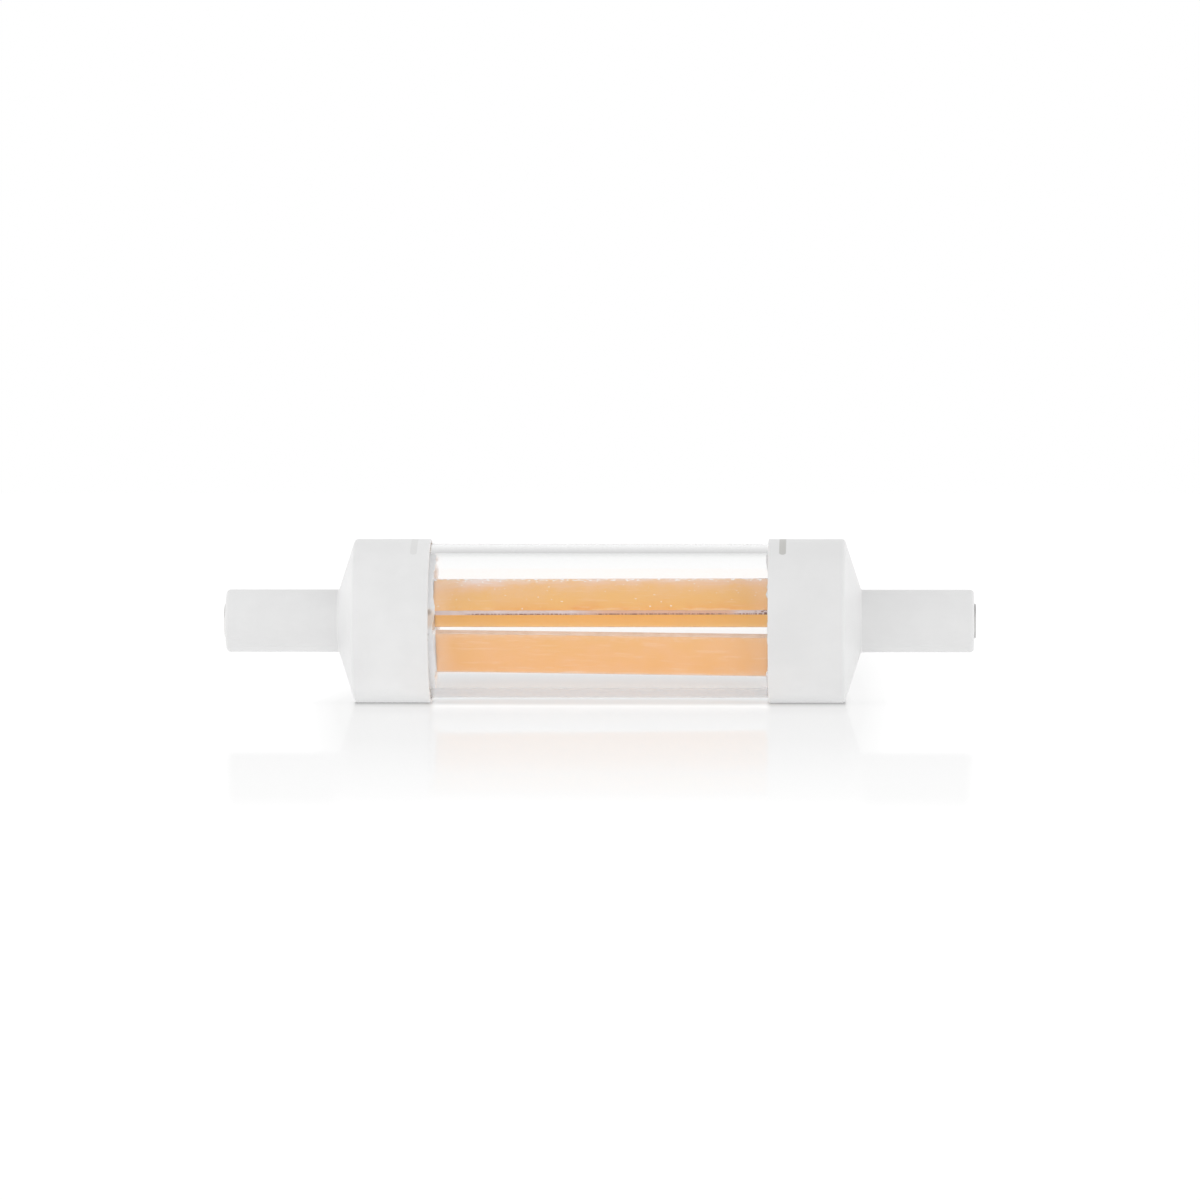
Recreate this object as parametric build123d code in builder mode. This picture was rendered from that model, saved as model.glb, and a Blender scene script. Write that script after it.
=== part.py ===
from build123d import *
from math import cos, hypot, radians, sin
import os

# A linear LED bulb with a contact at each end, made to fit between two sprung lamp holders.
# Frame: X runs along the bulb, +Z is up, and the origin is the middle of the bulb on its axis.
# The photographed front looks along +Y. All sizes are millimetres.

# Strips: a loose square ring of four, named top or low and front or rear as photographed
# Shift moves a strip out of the ring, slide moves it round the ring, and spread is its lean to the right
# Bare is the length of its left end that the coat leaves free, counted from the holder
STRIPS = {
    "rear_top": {"turn": 0, "shift": 0.0, "slide": -0.58, "spread": 0.0, "bare": 0.1},
    "front_top": {"turn": 90, "shift": 0.04, "slide": 0.0, "spread": 0.12, "bare": 0.4},
    "front_low": {"turn": 180, "shift": -0.37, "slide": -0.23, "spread": 0.7, "bare": 0.7},
    "rear_low": {"turn": 270, "shift": -0.55, "slide": 0.25, "spread": 0.2, "bare": 0.3},
}
SIDES = {"left": -1, "right": 1}

overall_length = 78.0

# LED strips and their place in the tube
strip_width = 5.2
base_thickness = 0.5
coat_crown = 0.35
coat_edge = 0.12
coat_margin = 0.06
coat_gap = 0.25
ring_turn = 39.0
ring_drop = 0.88
corner_gap = 1.73
cage_shift = 0.25

# Metal tabs on the strips' ends
tab_width = 1.6
tab_thickness = 0.2
tab_start = 0.2
tab_poke = 0.3

# Glass tube
cage_clearance = 0.9
glass_wall = 1.1
glass_end_chamfer = 0.3

# Slotted holders and the seal that beds each one in the glass
holder_inset = 0.15
holder_thickness = 1.8
slot_clearance = 0.1
seal_thickness = 0.25
seal_clearance = 0.02
seal_bead = 0.6
seal_lap = 0.35

# End caps
socket_depth = 3.0
socket_clearance = 0.05
lip_wall = 0.3
shoulder_seat = 0.35
board_recess = 2.0
chamber_depth = 1.9
end_wall = 1.0
body_chamfer = 0.2
cone_length = 1.7
stub_length = 11.7
stub_diameter = 6.5
stub_wall = 1.15
stub_tip_chamfer = 0.3
bore_lead_in = 0.8

# Contacts
contact_diameter = 3.6
contact_proud = 0.2
contact_sunk = 0.6
contact_chamfer = 0.1
contact_clearance = 0.05
shank_diameter = 2.1
pin_grip = 2.4
shank_poke = 0.6

# Boards, leads and the parts on the driver board: turns are counted round the ring of strips
board_thickness = 0.8
board_clearance = 0.15
ledge_width = 0.55
lead_diameter = 0.6
lead_clearance = 0.1
lead_poke = 0.3
fuse_clearance = 0.5
fuse_length = 6.5
fuse_chamfer = 0.5
wire_diameter = 1.0
wire_core_diameter = 0.5
wire_clearance = 0.1
wire_distance = 2.2
wire_turn = 225
rectifier_size = (3.6, 3.8, 1.35)
rectifier_distance = 2.8
rectifier_turn = 317
chip_size = (2.5, 3.6, 1.3)
chip_distance = 2.4
chip_turn = 135
case_chamfer = 0.2
foot_size = (0.6, 0.2)
foot_reach = 0.4
resistor_size = (1.25, 2.0, 0.5)
resistor_distance = 3.4
resistor_turn = 45

# Sizes that follow
ring_distance = strip_width / 2 + corner_gap
cage_reach = hypot(ring_distance + base_thickness / 2, strip_width / 2) + ring_drop
bore_radius = cage_reach + cage_clearance
tube_radius = bore_radius + glass_wall
socket_radius = tube_radius + socket_clearance
cap_radius = socket_radius + lip_wall
stub_radius = stub_diameter / 2
wire_bore_radius = stub_radius - stub_wall
recess_radius = contact_diameter / 2 + contact_clearance
shank_bore_radius = shank_diameter / 2 + contact_clearance
seat_radius = bore_radius - shoulder_seat
board_radius = seat_radius - board_clearance
chamber_radius = board_radius - ledge_width
holder_radius = bore_radius - seal_thickness

cap_body_length = socket_depth + board_recess + chamber_depth + end_wall
tip_x = overall_length / 2 - contact_proud
root_x = tip_x - stub_length
corner_x = root_x - cone_length
rim_x = corner_x - cap_body_length
tube_end_x = rim_x + socket_depth
ledge_x = tube_end_x + board_recess
board_face_x = ledge_x - board_thickness
chamber_x = ledge_x + chamber_depth
recess_x = tip_x - contact_sunk
wire_bore_x = recess_x - pin_grip
shank_x = wire_bore_x - shank_poke
fuse_x = (chamber_x + wire_bore_x) / 2
fuse_radius = wire_bore_radius - fuse_clearance
holder_reach = rim_x + holder_inset
strip_span = 2 * (holder_reach + holder_thickness)
coat_reach = holder_reach - coat_gap

os.makedirs("parts", exist_ok=True)


def save(piece, name):
    piece.part.label = name
    export_step(piece.part, f"parts/{name}.step")


def nearest(sketch, x, y):
    return sketch.vertices().sort_by_distance((x, y, 0))[0]


def end_plane(side):
    # Local X points out of the bulb at that end, and local Y is its radius, upward
    return Plane(origin=(0, 0, 0), x_dir=(side, 0, 0), z_dir=(0, -side, 0))


def ring_point(turn, distance, slide=0):
    # A point of the cross-section, in Y and Z, seen from the middle of the ring of strips
    angle = radians(ring_turn + turn)
    y = distance * cos(angle) - slide * sin(angle)
    z = distance * sin(angle) + slide * cos(angle) - ring_drop
    return (y, z)


def ring_place(turn, distance, slide=0):
    y, z = ring_point(turn, distance, slide)
    return Location((y, z, 0), (0, 0, ring_turn + turn))


def holder_face(side):
    return side * holder_reach + cage_shift


def strip_distance(strip, x):
    return ring_distance + strip["shift"] + strip["spread"] * (x - cage_shift) / strip_span


def strip_plane(strip):
    # Local X runs along the strip and local Z points out of the ring
    y, z = ring_point(strip["turn"], strip_distance(strip, cage_shift), strip["slide"])
    angle = radians(ring_turn + strip["turn"])
    lean = strip["spread"] / strip_span
    along = (1, lean * cos(angle), lean * sin(angle))
    outward = (-lean, cos(angle), sin(angle))
    return Plane(origin=(cage_shift, y, z), x_dir=along, z_dir=outward)


# End caps
def end_cap(side):
    outline = [
        (rim_x, socket_radius),
        (rim_x, cap_radius),
        (corner_x, cap_radius),
        (root_x, stub_radius),
        (tip_x, stub_radius),
        (tip_x, recess_radius),
        (recess_x, recess_radius),
        (recess_x, shank_bore_radius),
        (wire_bore_x, shank_bore_radius),
        (wire_bore_x, wire_bore_radius),
        (chamber_x + bore_lead_in, wire_bore_radius),
        (chamber_x, wire_bore_radius + bore_lead_in),
        (chamber_x, chamber_radius),
        (ledge_x, chamber_radius),
        (ledge_x, seat_radius),
        (tube_end_x, seat_radius),
        (tube_end_x, socket_radius),
    ]
    with BuildPart() as cap:
        with BuildSketch(end_plane(side)) as section:
            with BuildLine():
                Polyline(*outline, close=True)
            make_face()
            chamfer(nearest(section, corner_x, cap_radius), body_chamfer)
            chamfer(nearest(section, tip_x, stub_radius), stub_tip_chamfer)
        revolve(axis=Axis.X)
    return cap


# Contacts
def contact(side):
    with BuildPart() as pin:
        with BuildSketch(end_plane(side)) as section:
            with BuildLine():
                Polyline(
                    (shank_x, 0),
                    (shank_x, shank_diameter / 2),
                    (recess_x, shank_diameter / 2),
                    (recess_x, contact_diameter / 2),
                    (overall_length / 2, contact_diameter / 2),
                    (overall_length / 2, 0),
                    close=True,
                )
            make_face()
            chamfer(nearest(section, overall_length / 2, contact_diameter / 2), contact_chamfer)
        revolve(axis=Axis.X)
    return pin


# Glass tube, its ground ends chamfered
with BuildPart() as glass_tube:
    with BuildSketch(end_plane(1)) as glass_section:
        with Locations((0, bore_radius + glass_wall / 2)):
            Rectangle(2 * tube_end_x, glass_wall)
        chamfer(glass_section.vertices(), glass_end_chamfer)
    revolve(axis=Axis.X)
save(glass_tube, "glass_tube")


# Ceramic base of a strip
def strip_base(strip):
    with BuildPart() as base:
        with BuildSketch(strip_plane(strip)):
            Rectangle(strip_span, strip_width)
        extrude(amount=base_thickness / 2, both=True)
    return base


# Phosphor coat, crowned across the strip: face is 1 outside and -1 inside the ring
def phosphor_coat(strip, face):
    plane = strip_plane(strip)
    left_end = strip["bare"] - holder_reach
    start = plane.from_local_coords((left_end, 0, face * base_thickness / 2))
    half_width = strip_width / 2 - coat_margin
    with BuildPart() as coat:
        with BuildSketch(Plane(origin=start, x_dir=plane.y_dir * face, z_dir=plane.x_dir)):
            with BuildLine():
                Line((-half_width, 0), (half_width, 0))
                Line((half_width, 0), (half_width, coat_edge))
                ThreePointArc((half_width, coat_edge), (0, coat_crown), (-half_width, coat_edge))
                Line((-half_width, coat_edge), (-half_width, 0))
            make_face()
        extrude(amount=coat_reach - left_end)
    return coat


# Metal tab from a strip's end to the board behind it
def strip_tab(strip, side):
    inner_end = holder_reach + tab_start
    outer_end = ledge_x + tab_poke - side * cage_shift
    with BuildPart() as tab:
        with BuildSketch(strip_plane(strip).offset(base_thickness / 2)):
            with Locations((side * (inner_end + outer_end) / 2, 0)):
                Rectangle(outer_end - inner_end, tab_width)
        extrude(amount=tab_thickness)
    return tab


# Holder: a disc with a slot for each strip and its tab, and a hole for the return wire
def strip_holder(side):
    middle = holder_face(side) + side * holder_thickness / 2
    slot_depth = base_thickness + tab_thickness + 2 * slot_clearance
    with BuildPart() as holder:
        with BuildSketch(Plane.YZ.offset(holder_face(side))):
            Circle(holder_radius)
            for strip in STRIPS.values():
                distance = strip_distance(strip, middle) + tab_thickness / 2
                with Locations(ring_place(strip["turn"], distance, strip["slide"])):
                    Rectangle(slot_depth, strip_width + 2 * slot_clearance, mode=Mode.SUBTRACT)
            with Locations(ring_place(wire_turn, wire_distance)):
                Circle(wire_diameter / 2 + wire_clearance, mode=Mode.SUBTRACT)
        extrude(amount=side * holder_thickness)
    return holder


# Seal: a ring between holder and glass, with a bead over the holder's edge and along the glass
def tube_seal(side):
    face_x = side * holder_face(side)
    back_x = face_x + holder_thickness
    outer_radius = bore_radius - seal_clearance
    inner_radius = holder_radius + seal_clearance
    with BuildPart() as seal:
        with BuildSketch(end_plane(side)):
            with BuildLine():
                Polyline(
                    (back_x, inner_radius),
                    (back_x, outer_radius),
                    (face_x - seal_bead, outer_radius),
                    (face_x, holder_radius - seal_lap),
                    (face_x, inner_radius),
                    close=True,
                )
            make_face()
        revolve(axis=Axis.X)
    return seal


# Round board that seats on the ledge of its cap
def round_board(side):
    middle = side * (board_face_x + board_thickness / 2)
    with BuildPart() as board:
        with BuildSketch(Plane.YZ.offset(side * board_face_x)):
            Circle(board_radius)
            Circle(lead_diameter / 2 + lead_clearance, mode=Mode.SUBTRACT)
            for strip in STRIPS.values():
                distance = strip_distance(strip, middle) + (base_thickness + tab_thickness) / 2
                with Locations(ring_place(strip["turn"], distance, strip["slide"])):
                    Rectangle(
                        tab_thickness + 2 * slot_clearance,
                        tab_width + 2 * slot_clearance,
                        mode=Mode.SUBTRACT,
                    )
            with Locations(ring_place(wire_turn, wire_distance)):
                Circle(wire_core_diameter / 2 + wire_clearance, mode=Mode.SUBTRACT)
        extrude(amount=side * board_thickness)
    return board


# Chip with a chamfered case and two feet at each side, on the driver board
def chip(size, distance, turn):
    depth, width, height = size
    with BuildPart() as body:
        with BuildSketch(Plane.YZ.offset(-ledge_x)):
            with Locations(ring_place(turn, distance)):
                Rectangle(depth, width)
        extrude(amount=-height)
        chamfer(body.faces().sort_by(Axis.X)[0].edges(), case_chamfer)
        with BuildSketch(Plane.YZ.offset(-ledge_x)):
            with Locations(ring_place(turn, distance)):
                with GridLocations(0, width / 2, 1, 2):
                    Rectangle(depth + 2 * foot_reach, foot_size[0])
        extrude(amount=-foot_size[1])
    return body


for side_name, side in SIDES.items():
    save(end_cap(side), f"{side_name}_end_cap")
    save(contact(side), f"{side_name}_contact")
    save(strip_holder(side), f"{side_name}_strip_holder")
    save(tube_seal(side), f"{side_name}_tube_seal")
    for strip_name, strip in STRIPS.items():
        save(strip_tab(strip, side), f"{strip_name}_{side_name}_tab")

for strip_name, strip in STRIPS.items():
    save(strip_base(strip), f"{strip_name}_strip_base")
    save(phosphor_coat(strip, 1), f"{strip_name}_outer_phosphor")
    save(phosphor_coat(strip, -1), f"{strip_name}_inner_phosphor")

save(round_board(-1), "driver_board")
save(round_board(1), "link_board")
save(chip(rectifier_size, rectifier_distance, rectifier_turn), "bridge_rectifier")
save(chip(chip_size, chip_distance, chip_turn), "driver_chip")

# Sense resistor on the driver board
with BuildPart() as sense_resistor:
    with BuildSketch(Plane.YZ.offset(-ledge_x)):
        with Locations(ring_place(resistor_turn, resistor_distance)):
            Rectangle(resistor_size[0], resistor_size[1])
    extrude(amount=-resistor_size[2])
save(sense_resistor, "sense_resistor")

# Fuse resistor in the left stub, with its leads to the contact and the board
with BuildPart() as fuse_resistor:
    with BuildSketch(end_plane(-1)) as fuse_section:
        with BuildLine():
            Polyline(
                (board_face_x - lead_poke, 0),
                (board_face_x - lead_poke, lead_diameter / 2),
                (fuse_x - fuse_length / 2, lead_diameter / 2),
                (fuse_x - fuse_length / 2, fuse_radius),
                (fuse_x + fuse_length / 2, fuse_radius),
                (fuse_x + fuse_length / 2, lead_diameter / 2),
                (shank_x, lead_diameter / 2),
                (shank_x, 0),
                close=True,
            )
        make_face()
        for end in (-1, 1):
            chamfer(nearest(fuse_section, fuse_x + end * fuse_length / 2, fuse_radius), fuse_chamfer)
    revolve(axis=Axis.X)
save(fuse_resistor, "fuse_resistor")

# Lead from the right contact to the link board
with BuildPart() as right_lead:
    with BuildSketch(Plane.YZ.offset(board_face_x - lead_poke)):
        Circle(lead_diameter / 2)
    extrude(amount=shank_x - board_face_x + lead_poke)
save(right_lead, "right_lead")

# Return wire from board to board, with its bare ends through the boards
with BuildPart() as return_wire:
    for radius, reach in (
        (wire_diameter / 2, board_face_x),
        (wire_core_diameter / 2, ledge_x + lead_poke),
    ):
        with BuildSketch(Plane.YZ.offset(-reach)):
            with Locations(ring_point(wire_turn, wire_distance)):
                Circle(radius)
        extrude(amount=2 * reach)
save(return_wire, "return_wire")
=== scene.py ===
import math

import bmesh
import bpy
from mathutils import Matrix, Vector, noise


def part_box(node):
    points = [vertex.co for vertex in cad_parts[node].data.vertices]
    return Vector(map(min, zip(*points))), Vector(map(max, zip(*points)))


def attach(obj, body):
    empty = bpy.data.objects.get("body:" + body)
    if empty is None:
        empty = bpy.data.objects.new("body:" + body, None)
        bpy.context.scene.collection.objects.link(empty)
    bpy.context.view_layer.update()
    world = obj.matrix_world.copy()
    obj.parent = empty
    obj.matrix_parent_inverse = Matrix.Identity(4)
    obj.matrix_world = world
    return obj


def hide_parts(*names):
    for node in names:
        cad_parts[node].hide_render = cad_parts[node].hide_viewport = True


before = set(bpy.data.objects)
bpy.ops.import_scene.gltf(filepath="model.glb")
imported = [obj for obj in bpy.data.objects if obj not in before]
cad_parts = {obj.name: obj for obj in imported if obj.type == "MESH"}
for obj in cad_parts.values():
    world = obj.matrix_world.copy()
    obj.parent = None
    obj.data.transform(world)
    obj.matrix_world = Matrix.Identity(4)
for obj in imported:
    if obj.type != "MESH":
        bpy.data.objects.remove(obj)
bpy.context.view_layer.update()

# Lengths are metres. Those given in millimetres are multiplied by MM
MM = 0.001
SIDES = {"left": -1, "right": 1}

# The loose ring of four strips, as in the part. A strip's turn round the bulb's axis is in degrees, its other
# sizes are in millimetres
RING_DROP = 0.88 * MM
RING_DISTANCE = 4.33 * MM
STRIP_WIDTH = 5.2 * MM
BASE_THICKNESS = 0.5 * MM
STRIP_SPAN = 38.9 * MM
COAT_REACH = 17.4 * MM
HOLDER_REACH = 17.65 * MM
COAT_CROWN = 0.35 * MM
COAT_EDGE = 0.12 * MM
COAT_MARGIN = 0.06 * MM
CAGE_SHIFT = 0.25 * MM
STRIPS = {
    "rear_top": {"turn": 39, "shift": 0.0, "slide": -0.58, "spread": 0.0, "bare": 0.1},
    "front_top": {"turn": 129, "shift": 0.04, "slide": 0.0, "spread": 0.12, "bare": 0.4},
    "front_low": {"turn": 219, "shift": -0.37, "slide": -0.23, "spread": 0.7, "bare": 0.7},
    "rear_low": {"turn": 309, "shift": -0.55, "slide": 0.25, "spread": 0.2, "bare": 0.3},
}
FACES = {"outer": 1, "inner": -1}
for strip in STRIPS.values():
    strip["turn"] = math.radians(strip["turn"])
    for size in ("shift", "slide", "spread", "bare"):
        strip[size] *= MM

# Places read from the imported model
CAP_LOW, CAP_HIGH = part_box("right_end_cap")
TUBE_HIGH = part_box("glass_tube")[1]
SEAL_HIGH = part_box("right_tube_seal")[1]
CONTACT_LOW, CONTACT_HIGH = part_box("right_contact")
HOLDER_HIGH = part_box("right_strip_holder")[1]
RIM_X = CAP_LOW[0]
TIP_X = CAP_HIGH[0]
CAP_RADIUS = CAP_HIGH[2]
TUBE_END_X = TUBE_HIGH[0]
TUBE_RADIUS = TUBE_HIGH[2]
SEAL_RADIUS = SEAL_HIGH[2]
HOLDER_RADIUS = HOLDER_HIGH[2]
FLOOR_Z = -CAP_RADIUS
STUB_LENGTH = 11.7 * MM
CONE_LENGTH = 1.7 * MM
ROOT_X = TIP_X - STUB_LENGTH
CORNER_X = ROOT_X - CONE_LENGTH

# The caps' inside and stub, as in the part
GLASS_WALL = 1.1 * MM
SOCKET_RADIUS = CAP_RADIUS - 0.3 * MM
STUB_RADIUS = 3.25 * MM
BOARD_RECESS = 2.0 * MM
CHAMBER_DEPTH = 1.9 * MM
SEAT_RADIUS = TUBE_RADIUS - GLASS_WALL - 0.35 * MM
CHAMBER_RADIUS = SEAT_RADIUS - 0.7 * MM
WIRE_BORE_RADIUS = 2.1 * MM
BORE_LEAD_IN = 0.8 * MM
CONTACT_RADIUS = 1.8 * MM
CONTACT_SUNK = 0.6 * MM
SHANK_RADIUS = 1.05 * MM
PIN_GRIP = 2.4 * MM
FIT_GAP = 0.05 * MM
SEAL_BEAD = 0.6 * MM
SEAL_LAP = 0.35 * MM
SEAL_CLEAR = 0.02 * MM

# Radii at the corners of the turned outlines, by the corner's place in the outline
CAP_ROUNDING = {0: 0.06 * MM, 1: 0.14 * MM, 2: 0.42 * MM, 3: 0.18 * MM, 4: 0.4 * MM, 5: 0.08 * MM}
CONTACT_ROUNDING = {1: 0.15 * MM, 4: 0.12 * MM}
TUBE_ROUNDING = dict.fromkeys(range(4), 0.3 * MM)

# How the seals' beads are pressed in: how deep, and how much of their depth stays and is pressed
BEAD_DENT = 0.55
BEAD_KEPT = 0.7
BEAD_PRESSED = 0.3

# Form of the coats: how steeply they fall at the ends and long edges, and how uneven they are
COAT_FOOT = 0.97
COAT_END_FALL = 110
COAT_EDGE_FALL = 22
COAT_FRAY_FALL = 60
COAT_SWELL = 0.07
COAT_RIPPLE = 0.03
COAT_HIGHEST = 1.05
COAT_WAVER = 0.014
COAT_FRAY = 0.05 * MM
COAT_OVERRUN = 0.2 * MM

# Plain grey bars on the caps: where along the bulb, and their reach round it, counted from the top
BAR_X = {"left": -19.15 * MM, "right": 19.0 * MM}
BAR_SHADE = {"left": 0.25, "right": 1.0}
# The caps' two whites; the right cap's is greyer, painted shade of the weaker light at that end
CAP_WHITE_AND_SHADE = {"left": (0.785, 0.82), "right": (0.755, 0.785)}
BAR_HALF_WIDTH = 0.34 * MM
BAR_START = math.radians(-20)
BAR_END = math.radians(33)
BAR_TONE = (194, 193, 190)

# How steeply the outer glass is seen, from 0 to 1, where it stops bending light
GLASS_EDGE_START = 0.72
GLASS_EDGE_FULL = 0.86

# Floor. Each stop of its glow and mirror is a distance, as a share of FLOOR_REACH, and a level. The zones by
# the caps and by the tube meet at the rims. The glow is painted shade: its low stops are a painted shadow
# under the bulb, its bands in front painted shade and reflection, and FLOOR_COOL cools the painted shadow by
# the tube
FLOOR_SIZE = 4.0
FLOOR_WHITE = 0.35
FLOOR_IOR = 1.45
FLOOR_REACH = 0.3
FLOOR_ENDS = 60.0
FLOOR_BEHIND = 6.0 * MM
# How the painted shade leans and narrows towards the front
FLOOR_LEAN = 0.031
FLOOR_TAPER = 1.1
FLOOR_NARROWEST = 0.3
FLOOR_FAR = ((0.15, 0.575), (0.39, 0.585), (0.52, 0.61), (0.7, 0.635), (0.82, 0.65), (1.0, 0.72))
FLOOR_GLOW = {
    "caps": ((0.0, 0.0), (0.008, 0.06), (0.018, 0.25), (0.035, 0.44), (0.06, 0.53), *FLOOR_FAR),
    "tube": (
        (0.0, 0.43),
        (0.03, 0.47),
        (0.045, 0.58),
        (0.065, 0.69),
        (0.1, 0.67),
        (0.15, 0.62),
        (0.26, 0.62),
        (0.39, 0.6),
        *FLOOR_FAR[2:],
    ),
}
FLOOR_BOUNCE = ((0.0, 0.9), (0.03, 0.82), (0.08, 0.65), (1.0, 0.65))
FLOOR_COOL = (0.97, 1.0, 1.035)
COOL_FULL = 0.03
COOL_END = 0.06
CAP_FADE = 0.4 * MM
MIRROR_ROUGHNESS = 0.02
MIRROR_FADE = ((0.0, 0.25), (0.1, 0.24), (0.35, 0.17), (0.56, 0.12), (0.71, 0.06), (0.84, 0.02), (0.93, 0.0))

# Painted reflection of the stubs, a band of the floor in front of them: between which metres it comes and
# goes, its level and its fades
STUB_REFLECTION_BAND = ((0.13, 0.16), (0.3, 0.24))
STUB_REFLECTION_GLOW = 0.635
STUB_FADE = 3.0 * MM
TIP_FADE = 1.0 * MM

# The matt floor seen from above, its painted soft shadow, and the Fresnel values between which the painted
# bands of shade take over
MATT_GLOW = 0.65
SHADOW_GLOW = 0.5
SHADOW_REACH = 14.0 * MM
BANDS_START = 0.35
BANDS_FULL = 0.75

# Light tent: its level, what its ends and its top add to it, and how it shows in glass and metal, by height
TENT_LEVEL = 0.88
TENT_ENDS = 0.74
TENT_TOP = -0.1
TENT_MIRRORED_GAIN = 1.07
TENT_MIRRORED = (
    (0.0, 0.9),
    (0.5, 1.0),
    (0.6, 1.0),
    (0.635, 0.98),
    (0.66, 0.953),
    (0.69, 0.888),
    (0.71, 0.841),
    (0.75, 0.794),
    (0.8, 0.71),
    (0.83, 0.66),
    (0.87, 0.607),
    (1.0, 0.58),
)

# Camera of the photograph
CAMERA_DISTANCE = 0.911
CAMERA_AZIMUTH = math.radians(1.8)
CAMERA_ELEVATION = math.radians(1.0)
CAMERA_LENS = 263.2
CAMERA_SENSOR = 36.0
CAMERA_NEAR = 0.01
AIM_HEIGHT = 2.16 * MM

# Mesh fineness
TURN_STEPS = 256
TUBE_STEPS = 2000
PIN_STEPS = 96
SEAL_STEPS = 360
BEAD_STEPS = 7
ARC_STEPS = 5
ARC_REST = 0.02 * MM
COAT_ROWS = 290
COAT_COLUMNS = 20
COAT_ROW_CROWDING = 1.15
COAT_COLUMN_CROWDING = 1.9
SMOOTH_ANGLE = math.radians(28)

# Marks along the bases' edges: the scribed dots, how far under the middle of the edge they lie, the tan
# stretch, painted orange light showing through the edge, and the burnt marks near the right end
DOT_SCALE = 5500.0
DOT_RUN_SCALE = 260.0
DOT_TONE = (122, 68, 42)
SCRIBE_START = -14.5 * MM
SCRIBE_FULL = -12.5 * MM
SCRIBE_HIGH = -0.02 * MM
SCRIBE_LOW = -0.12 * MM
TAN_START = -3.0 * MM
TAN_FULL = 1.0 * MM
TAN_FADE = 13.2 * MM
TAN_END = 14.8 * MM
TAN_LIGHT_SHARE = 0.75
TAN_LIGHT_TONE = (220, 162, 118)
BURN_START = 15.9 * MM
BURN_FULL = 16.8 * MM
BURN_TONE = (120, 66, 44)
BARE_LIGHT_TONE = (253, 253, 253)

# Finish of the coats: streaks along them; paler ends, partly painted light that lifts the shade by the
# holders; white tips at the left, painted light where the coats begin by the holder; white specks near the
# upper edge, a painted sheen; and the inner coats' glow, painted light in the shade inside the tube
STREAK_SCALES = (("X", "Along", 110.0), ("Y", "Across", 2.4), ("Z", "Out", 400.0))
STREAK_DRIFT = 0.8
CLOUD_SHARE = 0.7
SHINE_START = 0.53
SHINE_FULL = 0.66
SHINE_SHARE = 0.25
SHINE_TONE = (250, 210, 172)
PALE_LIT_ENDS = ((-0.84 * COAT_REACH, -COAT_REACH, 0.5), (0.86 * COAT_REACH, COAT_REACH, 0.25))
PALE_LIT_TONE = (255, 215, 180)
TIP_START = 0.12 * MM
TIP_LIGHT_SHARE = 0.85
TIP_LIGHT_TONE = (255, 244, 230)
SHEEN_SPECK_SCALES = (("X", "Along", 2200.0), ("Y", "Across", 8.0))
SHEEN_SPECK_ZONE = (-0.55, -1.0)
SHEEN_SPECK_LIMIT = 0.71
SHEEN_SPECK_EASE = -0.22
SHEEN_SPECK_SHARPNESS = 30.0
SHEEN_SPECK_TONE = (254, 250, 248)
# The inner coats glow: painted light that lifts them in the shade inside the tube
INNER_GLOW = 0.19
INNER_GLOW_TONE = (236, 190, 60)

# How the coats look across the strip, from its upper edge, 0, to its lower one, 1, and the soft cloud that
# lies over them. A coat that COAT_LOOKS doesn't name has the outer look
LOW_TONES = (
    (0.0, (242, 198, 160)),
    (0.05, (240, 184, 124)),
    (0.12, (240, 179, 104)),
    (0.8, (242, 177, 100)),
    (0.92, (243, 182, 114)),
    (1.0, (245, 206, 176)),
)
REAR_TONES = (
    (0.0, (238, 206, 140)),
    (0.3, (238, 202, 128)),
    (0.7, (238, 200, 120)),
    (1.0, (238, 208, 150)),
)
# The front top coat's tones: paler towards the upper edge, partly a thinner coat and partly painted sheen,
# with a painted shade line near the lower edge
TOP_LIT_TONES = (
    (0.0, (244, 222, 212)),
    (0.07, (243, 211, 192)),
    (0.18, (243, 198, 162)),
    (0.34, (243, 191, 136)),
    (0.55, (242, 186, 120)),
    (0.75, (240, 178, 100)),
    (0.88, (239, 168, 78)),
    (0.96, (238, 158, 66)),
    (1.0, (240, 178, 110)),
)
OUTER_LOOK = {"tones": LOW_TONES, "cloud": (243, 182, 122)}
REAR_LOOK = {"tones": REAR_TONES, "cloud": (242, 206, 130)}
COAT_LOOKS = {
    ("front_top", "outer"): {"tones": TOP_LIT_TONES, "cloud": (243, 184, 98)},
    ("rear_top", "inner"): REAR_LOOK,
    ("rear_low", "inner"): REAR_LOOK,
}

# How far the pale upper margin reaches at the left end and elsewhere, and how strong its white flecks are, a
# painted sheen
MARGIN_SHIFT = {
    "rear_top": (0.0, 0.0),
    "front_top": (0.2, 0.0),
    "front_low": (0.05, -0.03),
    "rear_low": (0.0, 0.0),
}
SHEEN_FLECKS = {"rear_top": 0.0, "front_top": 1.0, "front_low": 0.05, "rear_low": 0.0}

# How the edges of the four bases look: two tones, and how strong the scribed dots are
BASE_LOOKS = {
    "rear_top": {"low": (238, 190, 142), "high": (240, 200, 160), "scribe": 0.1},
    "front_top": {"low": (212, 192, 188), "high": (224, 208, 208), "scribe": 1.0},
    "front_low": {"low": (228, 198, 172), "high": (238, 212, 192), "scribe": 0.1},
    "rear_low": {"low": (230, 202, 184), "high": (236, 214, 202), "scribe": 0.5},
}

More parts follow.
